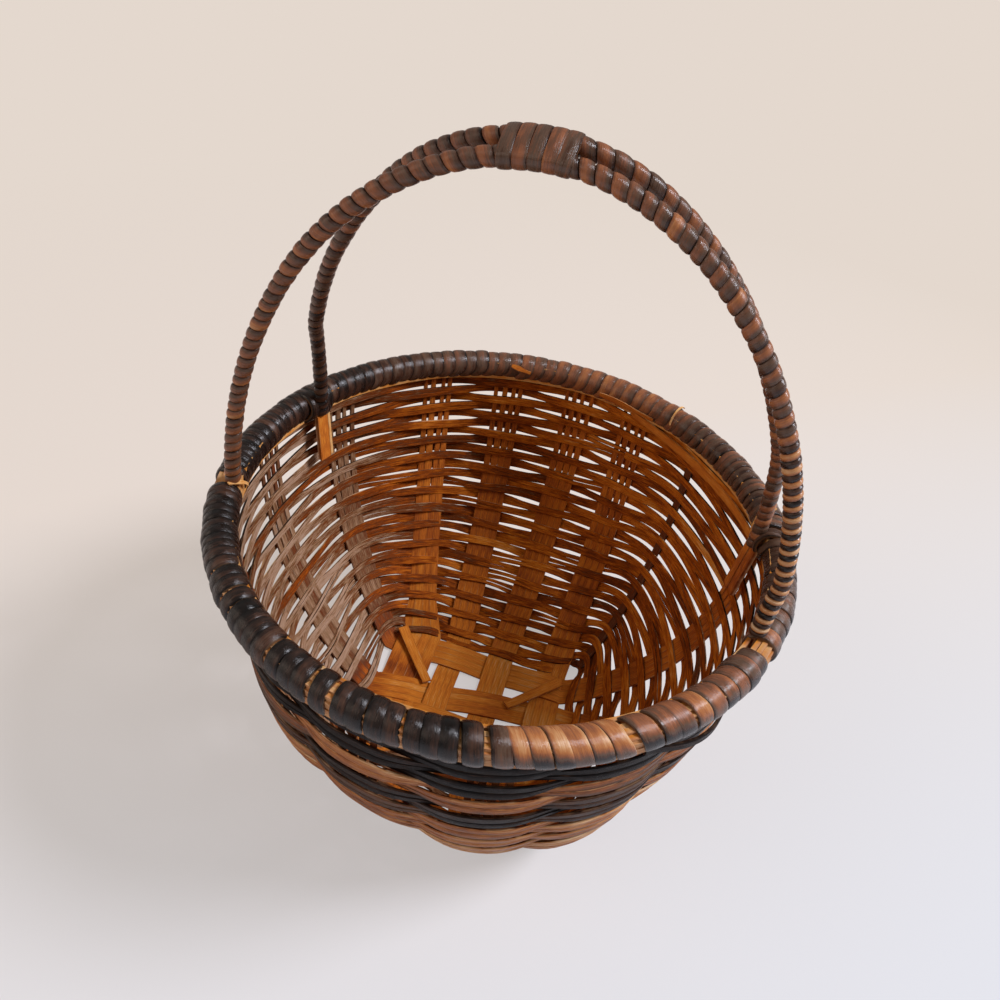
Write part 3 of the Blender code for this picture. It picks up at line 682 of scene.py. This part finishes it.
# Along the rim in degrees: width of the turns in mm, skin shade, how far they lean, and how
# flat, ragged and stained they are
RIM_STRETCHES = (
    (150, 4.6, 0.2, 0.3, 0.2), (175, 3.9, 0.14, 0.25, 0.2), (196, 3.3, 0.09, 0.1, 0.3),
    (220, 3.2, 0.09, 0.1, 0.3), (228, 4.2, 0.12, -0.3, 0.2), (250, 4.4, 0.09, -0.6, 0.2),
    (280, 4.4, 0.09, -0.8, 0.2), (290.5, 4.8, 0.12, -0.9, 0.3), (292.5, 5.0, 0.62, -1.9, 1.0),
    (300, 5.2, 0.64, -2.4, 1.0), (312, 5.4, 0.6, -2.8, 1.0), (322, 5.2, 0.52, -2.4, 1.0),
    (335, 5.0, 0.43, -1.2, 0.8), (348, 4.8, 0.38, -0.6, 0.7), (378, 3.6, 0.32, 0.15, 0.5),
    (398, 3.4, 0.31, 0.1, 0.5), (412, 4.3, 0.38, 0.2, 0.4), (430, 5.2, 0.54, 0.3, 0.2),
    (452, 5.4, 0.5, 0.3, 0.0), (468, 5.3, 0.44, 0.3, 0.0), (480, 5.0, 0.3, 0.3, 0.0),
    (510, 4.6, 0.24, 0.3, 0.1),
)
# Bare places in the lashing, where the hoops show: rim angle, width in mm
BARE_PLACES = (
    (216, 1.3), (229, 1.6), (233.5, 1.3), (237.5, 1.5), (249, 1.6), (254, 1.2), (258, 2.0),
    (263, 2.0), (270, 1.4), (276, 1.3), (283.5, 1.9), (288.2, 2.8), (292.5, 1.5), (308, 1.2),
    (314, 2.6),
)
# How deep the strips lie in the section of the rim
LASHING_SINK = 0.35 * MM
# One turn of a lashing: where on the rim's section it begins, and the last part of it, in which
# it goes over to the next
TURN_BEGIN = -0.55 * pi
CHANGE_PART = 0.28
TURN_STEPS = 28
# The rear rod's pegs push the turns inwards, up to this far and within so many degrees
PEG_ANGLES = (*FEET[1][:2], FEET[1][1] + 360)
PEG_PUSH = 3.0 * MM
PEG_REACH = 3.2


def rim_turns(start, end):
    """Places of the turns of a lashing: angle, width, shade, lean and flatness."""
    turns = []
    angle = start
    while True:
        # The table runs from 150 to 510 degrees
        width, shade, lean, flat = row_at(RIM_STRETCHES, (math.degrees(angle) - 150) % 360 + 150)
        advance = width * MM / RIM_RADIUS_X
        for place, bare in BARE_PLACES:
            if angle < radians(place) <= angle + advance:
                advance += bare * MM / RIM_RADIUS_X
        if angle + advance > end:
            return turns
        turns.append((angle, width * MM, shade, lean, flat))
        angle += advance


def near_peg(angle):
    """How near a turn of the lashing is to a peg of the rear rod, from 0 to 1."""
    return sum(hump(math.degrees(angle) - peg, PEG_REACH, 4) for peg in PEG_ANGLES)


def make_lashing(name, start, end, slot, seed, material):
    """One strip wound round and round the rim from start to end."""
    draw = random.Random(seed)
    turns = rim_turns(radians(start), radians(end))
    stations = []
    ribbons = []
    lift = wander(seed + 2, 2.3)
    bend = wander(seed + 5, 1.3)
    tones = [clamp(shade + draw.gauss(0, 0.03 + 0.05 * flat)) for _, _, shade, _, flat in turns]
    swell = [draw.uniform(0.0, 0.45) * MM for _ in turns]
    sizes = [width * draw.uniform(1.13 - 0.10 * flat, 1.20 + 0.08 * flat)
             for _, width, _, _, flat in turns]
    stains = [draw.uniform(0.15, 0.75) * flat for *_, flat in turns]
    skews = [draw.uniform(-0.3, 0.3) * (0.4 + flat) for *_, flat in turns]
    frays = [(draw.uniform(0.4, 0.9), draw.uniform(-0.3, 0.3) * flat) for *_, flat in turns]
    for index, (angle, _, shade, lean, flat) in enumerate(turns):
        after = min(index + 1, len(turns) - 1)
        for share in shares(TURN_STEPS)[:-1]:
            fresh = ending(share, CHANGE_PART)
            fresh = fresh * fresh * (3 - 2 * fresh)
            around = TURN_BEGIN + FULL * share
            place = blend(angle, turns[after][0], fresh)
            place += (lean + skews[index]) * (share - fresh) * 4.0 * MM / RIM_RADIUS_X
            width = blend(sizes[index], sizes[after], fresh)
            fray_place, fray = frays[index]
            width *= 1 + fray * hump(share - fray_place, 0.08)
            out = blend(swell[index], swell[after], fresh) + 0.10 * MM * lift(index + share)
            if cos(around) < 0:
                out -= PEG_PUSH * cos(around) * near_peg(place)
            across = (rim_point(place + 0.01, 0, 0) - rim_point(place - 0.01, 0, 0)).normalized()
            normal = rim_normal(place) * cos(around) / RIM_HALF_WIDTH
            normal = (normal + UP * (sin(around) / RIM_HALF_DEPTH)).normalized()
            tilt = (normal - across * (0.13 + 0.05 * bend(index + share))).normalized()
            tone = blend(tones[index], tones[after], fresh)
            if shade > 0.3:
                # Tan turns are stained outside, and a painted highlight lies higher up on each turn
                tone -= stains[index] * hump(math.degrees(around) + 4, 30)
                tone += 0.1 * flat * hump(math.degrees(around) - 62, 25)
            stations.append((rim_surface(place, around, -LASHING_SINK) + normal * out, across,
                             tilt, width, blend(1.25, 0.9, flat) * MM,
                             (index + share) * FULL * RIM_HALF_WIDTH, max(tone, 0.04)))
            ribbons.append(flat > 0.6)
    # The turns are round at first; from where they lie flat, they are another strip
    change = ribbons.index(True) if True in ribbons else len(ribbons)
    strands = Strands()
    if change > 1:
        strands.add(stations[:change], BEAD_SECTION, seed * 0.31)
    if change < len(ribbons):
        strands.add(stations[change:], RIBBON_SECTION, seed * 0.31)
    strands.make(name + "_lashing_turns", material, slot, "rim_lashing_" + name)


# The splits of each hoop, all in mm: out and up from the rim's middle, thickness and height
HOOP_STRIPS = {
    "inner_rim_hoop": ((-3.7, 1.9, 1.3, 2.6), (-3.9, -0.8, 1.1, 2.8), (-3.8, -3.4, 1.0, 2.2)),
    "outer_rim_hoop": ((-0.7, 3.3, 1.7, 1.5), (1.0, 3.6, 1.7, 1.3), (2.7, 2.8, 1.7, 1.5),
                       (3.7, 1.0, 1.1, 2.4), (3.9, -1.5, 1.0, 2.6), (1.5, 0.0, 4.4, 4.6)),
}
# The ends of a split meet a hair short of the full turn
HOOP_TURN = 0.9995 * FULL


def make_hoops(material):
    """Each hoop is a bundle of thin splits of cane that lie side by side."""
    for number, (node, strips) in enumerate(HOOP_STRIPS.items()):
        strands = Strands()
        for index, (out, rise, thick, tall) in enumerate(strips):
            sway = wander(10 * number + index, FULL / 9)
            stations = []
            for share in shares(180):
                angle = HOOP_TURN * share
                point = rim_point(angle, (out + 0.12 * sway(angle)) * MM,
                                  (rise + 0.2 * sway(angle + 9)) * MM)
                stations.append((point, UP, rim_normal(angle), tall * MM, thick * MM,
                                 angle * RIM_RADIUS_X, 0.80))
            strands.add(stations, SPLINT_SECTION, index * 0.7, 0.9)
        strands.make(node + "_splits", material, "hoop", node)
    # The right of the rim shows a bare band of the inner hoop under the lashing
    stations = []
    for share in shares(60):
        angle = radians(blend(14, 75, share))
        drop = sin(pi * share) ** 0.7 * 5.2
        stations.append((rim_point(angle, -4.6 * MM, (-3.6 - drop) * MM), UP, rim_normal(angle),
                         blend(2.6, 4.2, sin(pi * share)) * MM, 0.7 * MM,
                         angle * RIM_RADIUS_X, 0.8))
    Strands().add(stations, SPLINT_SECTION, 0.77, 0.72).make(
        "loose_inner_band", material, "hoop")


# Splinters: rim angle from and to, place round the rim from and to (0 is outward, 90 is up, all
# in degrees), widths at the ends and in the middle and lift in mm, and shade of the split side
SPLINTERS = (
    (85, 68, 186, 196, 1.2, 3.0, 1.0, 0.66), (111, 105.5, 150, 172, 1.0, 2.2, 0.9, 0.70),
    (63.6, 62.6, 50, 172, 0.5, 0.9, 1.1, 1.0), (22.5, 19.5, 92, 186, 0.6, 3.4, 2.6, 0.88),
    (206.5, 202.0, 105, 176, 0.8, 2.2, 1.0, 0.95),
)


def make_splinters(material):
    """Splinters and torn ends, which show their split side."""
    strands = Strands()
    steps = shares(24)
    for number, (begin, end, low, high, thin, broad, lift, core) in enumerate(SPLINTERS):
        points, normals = [], []
        for share in steps:
            angle, around = radians(blend(begin, end, share)), radians(blend(low, high, share))
            points.append(rim_surface(angle, around, (lift + 0.3 * sin(pi * share)) * MM))
            normals.append(rim_normal(angle) * cos(around) + UP * sin(around))
        stations = []
        for point, normal, before, after, share in zip(
                points, normals, points[:1] + points, points[1:] + points[-1:], steps):
            across = (after - before).cross(normal).normalized()
            width = blend(thin, broad, sin(pi * min(share * 1.2 + 0.1, 0.9))) * MM
            stations.append((point, across, -normal, width, 0.45 * MM, share * 0.02, 0.82))
        strands.add(stations, SPLINT_SECTION, number * 0.43, core)
    strands.make("rim_splinters", material, "hoop")


# Handle

def handle_point(turn, side):
    """A point of a rod's arch; the side is -1 for the front rod, 1 for the rear rod."""
    rise = sin(turn)
    spread = blend(SPREAD_RIGHT, SPREAD_LEFT, (1 - cos(turn)) / 2)
    bow = clamp((turn - BOW_BEGIN) / BOW_REACH)
    lateral = blend(ROD_SPACE, spread, (1 - rise) ** 0.73)
    lateral = side * (lateral + ROD_BOW * sin(pi * bow) ** 2)
    along = HANDLE_HALF_SPAN * cos(turn)
    if side > 0:
        drawn_in = DRAWN_IN[0] if along > 0 else DRAWN_IN[1]
        along -= math.copysign(drawn_in, along) * abs(sin(2 * turn))
    height = HANDLE_RISE * rise
    x = along * cos(HANDLE_TURN) - lateral * sin(HANDLE_TURN)
    y = along * sin(HANDLE_TURN) + lateral * cos(HANDLE_TURN)
    y += HANDLE_LEAN * height
    height += HANDLE_SPRING + side * ROD_LIFT * rise ** 2
    return Vector((x, y, RIM_HEIGHT + height)) + HANDLE_SHIFT


def rod_line(side):
    """Middle line of a rod under its wrap, from its right foot to its left foot."""
    right, left, inset, rise, bend, stop = FEET[side]
    begin = math.asin((rise - HANDLE_SPRING) / HANDLE_RISE)
    arch = [handle_point(blend(begin, pi - begin, share), side) for share in shares(150)]
    bends = []
    for degrees, shoulder in ((right, arch[0]), (left, arch[-1])):
        knee, foot = (rim_point(radians(degrees), -inset, height)
                      for height in (bend, stop))
        bends.append([blend(blend(shoulder, knee, share), blend(knee, foot, share), share)
                      for share in shares(16)[1:]])
    return bends[0][::-1] + arch + bends[1]


def along_line(line):
    """A line's length, and a function that reads point and directions at a length."""
    lengths = lengths_along(line)

    def read(length):
        low, high, share = find_span(lengths, length)
        tangent = (line[min(high + 1, len(line) - 1)] - line[max(low - 1, 0)]).normalized()
        first = (LATERAL - tangent * LATERAL.dot(tangent)).normalized()
        return blend(line[low], line[high], share), tangent, first, tangent.cross(first)

    return lengths[-1], read


LATERAL = Vector((-sin(HANDLE_TURN), cos(HANDLE_TURN), 0))
ROUND_SECTION = tuple((cos(FULL * i / 12) / 2, sin(FULL * i / 12) / 2, 0.0, 0.0)
                      for i in range(12))
# Along a rod from its right foot: share of its length, pitch in mm, skin shade, unevenness
ROD_STRETCHES = {
    -1: ((0, 1.8, 0.41, 0.5), (0.16, 1.9, 0.4, 0.44), (0.24, 3.2, 0.4, 0.16), (0.34, 3.9, 0.4, 0.1),
         (0.45, 4.3, 0.42, 0.08), (0.62, 4.2, 0.44, 0.08), (0.75, 3.7, 0.47, 0.08),
         (0.9, 3.3, 0.47, 0.07), (1, 3.1, 0.48, 0.06)),
    1: ((0, 3.3, 0.44, 0.14), (0.25, 3.9, 0.4, 0.1), (0.45, 4.8, 0.42, 0.08),
        (0.62, 4.8, 0.42, 0.07), (0.75, 4.2, 0.44, 0.08), (0.9, 3.5, 0.28, 0.06),
        (1, 3.3, 0.18, 0.05)),
}
WRAP_STEPS = 16
WRAP_LIFT = 0.28 * MM
WRAP_THICKNESS = 1.3 * MM


def make_bare_rod(name, side, total, read, material):
    """A rod as it is under its wrap, with its two feet."""
    strands = Strands()
    stations = []
    for share in shares(160):
        point, _, first, second = read(total * share)
        stations.append((point, first, second, 2 * ROD_RADIUS, 2 * ROD_RADIUS, total * share, 0.6))
    strands.add(stations, ROUND_SECTION, 0.9, 0.6)
    for degrees in FEET[side][:2]:
        add_foot(strands, radians(degrees), side)
    strands.make(name + "_bare_rod", material, "rod", name + "_handle_rod")


def make_rod_wrap(name, side, total, read, material):
    """One strip wound along a rod, darker and paler turn by turn where it is uneven."""
    draw = random.Random(60 + side)
    breadth = wander(40 + side, 3)
    places, tones, swells = [0.0], [], []
    while places[-1] < total:
        pitch, shade, uneven = row_at(ROD_STRETCHES[side], places[-1] / total)
        alternate = uneven * (0.6 if len(tones) % 2 else -0.6)
        tones.append(clamp(shade + alternate + draw.gauss(0, 0.03)))
        swells.append(draw.uniform(0, 0.16) * MM)
        places.append(places[-1] + pitch * MM * draw.uniform(0.94, 1.06))
    count = len(places) - 1
    places = [place * total / places[-1] for place in places]
    tones.append(tones[-1])
    swells.append(swells[-1])
    stations = []
    for step in range(count * WRAP_STEPS + 1):
        index, share = step // WRAP_STEPS, step % WRAP_STEPS / WRAP_STEPS
        after = min(index + 1, count)
        pitch = places[after] - places[index] if after > index else places[-1] - places[-2]
        around = FULL * share
        point, tangent, first, second = read(min(blend(places[index], places[after], share),
                                                 total))
        normal = first * cos(around) + second * sin(around)
        tilt = (normal - tangent * 0.14).normalized()
        reach = ROD_RADIUS + WRAP_LIFT + blend(swells[index], swells[after], share)
        tone = blend(tones[index], tones[after], ending(share, 0.2))
        stations.append((point + normal * reach, tangent, tilt,
                         pitch * (1.05 + 0.05 * breadth(index + share)), WRAP_THICKNESS,
                         (index + share) * FULL * ROD_RADIUS, tone))
    Strands().add(stations, BEAD_SECTION, 1.3 + side).make(
        name + "_rod_turns", material, "rod_wrap", name + "_rod_wrap")


def add_foot(strands, angle, side):
    """A rod's flat end: a tongue between the hoops in front, split pegs at the rear.

    A part is its place along the rim, width, thickness, inset, the height and inset of its
    lower end, all in mm, and its shade.
    """
    along = Vector((-rim_normal(angle).y, rim_normal(angle).x, 0))
    if side < 0:
        parts = ((0.0, 3.0, 1.0, 2.5, -4.6, 2.5, 0.5),)
    elif cos(angle) < 0:
        parts = ((0.4, 5.6, 1.9, 6.9, -22.6, 8.8, 0.66), (-3.1, 1.3, 1.8, 6.9, -22.0, 8.8, 1.0))
    else:
        parts = ((-2.6, 4.6, 1.7, 6.9, -24.0, 9.0, 0.52), (2.5, 4.6, 1.7, 7.0, -25.6, 9.2, 0.60))
    top = FEET[side][5] / MM
    for number, (aside, width, thick, inset, low, end_inset, core) in enumerate(parts):
        stations = []
        for share in shares(12):
            point = rim_point(angle, -blend(inset, end_inset, share) * MM,
                              blend(top, low, share) * MM)
            stations.append((point + along * (aside * MM), along, rim_normal(angle), width * MM,
                             thick * MM, share * 0.03, 0.9))
        strands.add(stations, SPLINT_SECTION, 0.5 + number, core)


BINDING_TURNS = 5
BINDING_PITCH = 3.9 * MM
BINDING_PLACE = radians(3.7)
BINDING_STEPS = 40


def make_binding(material):
    """One strip in wide turns round both rods at the top."""
    draw = random.Random(8)
    stations = []
    half_height = ROD_RADIUS + 0.95 * MM
    tones = [0.45 + draw.uniform(-0.06, 0.06) for _ in range(BINDING_TURNS + 1)]
    length = 0.0
    before = None
    for step in range(BINDING_TURNS * BINDING_STEPS + 1):
        index, share = step // BINDING_STEPS, step % BINDING_STEPS / BINDING_STEPS
        fresh = ending(share, 0.25)
        place = (index + 0.25 * share + 0.75 * fresh - BINDING_TURNS / 2) * BINDING_PITCH
        turn = pi / 2 + BINDING_PLACE + place / HANDLE_HALF_SPAN
        front, rear = handle_point(turn, -1), handle_point(turn, 1)
        tangent = (handle_point(turn + 0.05, 0) - handle_point(turn - 0.05, 0)).normalized()
        apart = rear - front
        apart -= tangent * apart.dot(tangent)
        lateral = apart.normalized()
        outward = lateral.cross(tangent)
        angle = FULL * (share - 0.125)
        normal = lateral * cos(angle) + outward * sin(angle)
        reach = math.copysign(min(abs(cos(angle)) * 1.5, 1), cos(angle))
        point = (front + rear) / 2 + apart / 2 * reach + normal * half_height
        if before is not None:
            length += (point - before).length
        before = point
        tone = blend(tones[index], tones[min(index + 1, BINDING_TURNS)], fresh)
        stations.append((point, tangent, (normal - tangent * 0.05).normalized(),
                         BINDING_PITCH * 1.03, 1.15 * MM, length, tone))
    Strands().add(stations, RIBBON_SECTION, 2.2).make(
        "binding_turns", material, "binding", "top_binding")


# Mat braces

def make_braces(material):
    """Two strips that lie on the mat with the split side up."""
    for name, start, end in (("left", (-37.0, 28.5), (-17.5, 4.0)),
                             ("right", (38.0, 22.5), (18.3, 3.3))):
        first, last = (turned(x * MM, y * MM) + MAT_SHIFT for x, y in (start, end))
        across = (last - first).cross(UP).normalized()
        stations = []
        for share in shares(12):
            lift = (2.7 + 1.6 * (1 - share) ** 2) * MM
            width = (4.8 - 1.0 * share) * MM
            stations.append((blend(first, last, share) + UP * lift, across, -UP, width, 1.0 * MM,
                             share * 0.03, 0.8))
        Strands().add(stations, SPLINT_SECTION, 0.2, 0.74).make(
            name + "_brace", material, "brace", name + "_brace_strip")


# Camera, floor and light

# The photo's focal length and width, and where in it the middle of the rim lies
FOCAL_PIXELS = 820.0
FRAME_PIXELS = 1000.0
RIM_PIXEL = (508.9, 505.6)
DISTANCE = 287.9 * MM
ELEVATION = radians(38.52)
AZIMUTH = radians(15.44)
ROLL = radians(9.16)


def make_camera():
    back = Vector((sin(AZIMUTH) * cos(ELEVATION), -cos(AZIMUTH) * cos(ELEVATION),
                   sin(ELEVATION)))
    level = Vector((cos(AZIMUTH), sin(AZIMUTH), 0))
    above = back.cross(level)
    right = level * cos(ROLL) + above * sin(ROLL)
    up = above * cos(ROLL) - level * sin(ROLL)
    aside = (RIM_PIXEL[0] - FRAME_PIXELS / 2) / FOCAL_PIXELS * DISTANCE
    down = (RIM_PIXEL[1] - FRAME_PIXELS / 2) / FOCAL_PIXELS * DISTANCE
    place = UP * RIM_HEIGHT + back * DISTANCE - right * aside + up * down
    data = bpy.data.cameras.new("camera")
    data.lens = FOCAL_PIXELS / FRAME_PIXELS * data.sensor_width
    data.clip_start = 0.01
    camera = add_object("camera", data)
    camera.matrix_world = Matrix([*zip(right, up, back, place), (0, 0, 0, 1)])
    bpy.context.scene.camera = camera


def area_light(name, place, target, size, power, colour):
    data = bpy.data.lights.new(name, "AREA")
    data.shape = "DISK"
    data.size = size
    data.energy = power
    data.color = linear(colour)[:3]
    lamp = add_object(name, data)
    lamp.location = place
    lamp.rotation_euler = (Vector(target) - Vector(place)).to_track_quat("-Z", "Y").to_euler()


def make_surroundings():
    bpy.ops.mesh.primitive_plane_add(size=40, location=(0, 0, 0))
    floor = bpy.context.object
    floor.name = "floor"
    # Matt paper: an even pale ground without any gleam, on which the soft shadow shows
    material = bpy.data.materials.new("matt_paper_floor")
    material.use_nodes = True
    tree = material.node_tree
    shader = tree.nodes["Principled BSDF"]
    place = add_node(tree, "TexCoord").outputs["Object"]
    parts = add_node(tree, "SeparateXYZ", inputs={"Vector": place})
    across = math_node(tree, "SUBTRACT", parts.outputs["X"], parts.outputs["Y"])
    # Painted tint of the light: the paper is warmer on the left and towards the back, cooler in
    # front on the right
    colour = colour_ramp(tree, map_range(tree, across, -0.25, 0.25),
                         ((0, "#E4D8CE"), (1, "#DEDFE4")))
    feed(tree, shader, {"Base Color": colour, "Roughness": 0.9})
    # What the camera sees of the paper is lifted, and keeps half of the shadow
    glow = add_node(tree, "Emission", inputs={"Color": colour})
    seen = add_node(tree, "LightPath").outputs["Is Camera Ray"]
    away = add_node(tree, "VectorMath", {"operation": "LENGTH"}, {0: place})
    lifted = map_range(tree, away.outputs["Value"], 0.2, 0.7, 0.58, 1.0)
    mixed = add_node(tree, "MixShader", inputs={
        0: math_node(tree, "MULTIPLY", seen, lifted),
        1: shader.outputs["BSDF"], 2: glow.outputs["Emission"]})
    feed(tree, tree.nodes["Material Output"], {"Surface": mixed.outputs["Shader"]})
    floor.data.materials.append(material)
    world = bpy.data.worlds.new("studio")
    world.use_nodes = True
    bpy.context.scene.world = world
    tree = world.node_tree
    feed(tree, tree.nodes["Background"], {"Color": linear("#F8F4F0"), "Strength": 0.3})
    area_light("window", (2.0, 0.7, 2.3), (0, 0, 0.06), 1.1, 112, "#F1F4FF")
    area_light("fill", (-2.0, -1.6, 1.6), (0, 0, 0.06), 2.0, 22, "#FFE6D4")


def main():
    # Dull split cane: long fibres, dark strips, painted shade at split edges, pale rubbed lines
    woven = cane("split_cane_weaver", 0.40, 1.4, 0.6, 0.6, 0.08, 0.95)
    # The split side of broad splints: warm orange-brown, dry, with a fine grain
    split = cane("hand_split_splint", 0.52, 0.9, 0.25, 0.4, 0.25, 0.22)
    # Peel of cane worn smooth by hands: a soft gleam and scuffed edges on every turn
    wound = cane("wound_cane_peel", 0.25, 0.62, 0.9, 0.8, 0.36)
    # Cane without its peel: pale, matt and fibrous
    bare = cane("bare_cane", 0.55, 0.9, 0.2, 0.5, 0.3)
    stakes = make_stakes()
    make_splints(stakes, split)
    make_odd_stake(stakes[-1], split)
    make_weavers(stakes, woven)
    make_loose_strand(woven)
    make_hoops(bare)
    make_splinters(bare)
    for name, start, end, slot, seed in (
            ("front", 206.4, 346.4, "lashing_black", 1),
            ("right", 346.9, 379.2, "lashing_grey", 2),
            ("rear", 378.6, 530.2, "lashing_red_brown", 3),
            ("left", 169.2, 203.4, "lashing_black", 4)):
        make_lashing(name, start, end, slot, seed, wound)
    for name, side in (("front", -1), ("rear", 1)):
        line = along_line(rod_line(side))
        make_bare_rod(name, side, *line, bare)
        make_rod_wrap(name, side, *line, wound)
    make_binding(wound)
    make_braces(split)
    make_camera()
    make_surroundings()
    bpy.context.scene.view_settings.view_transform = "Standard"


main()
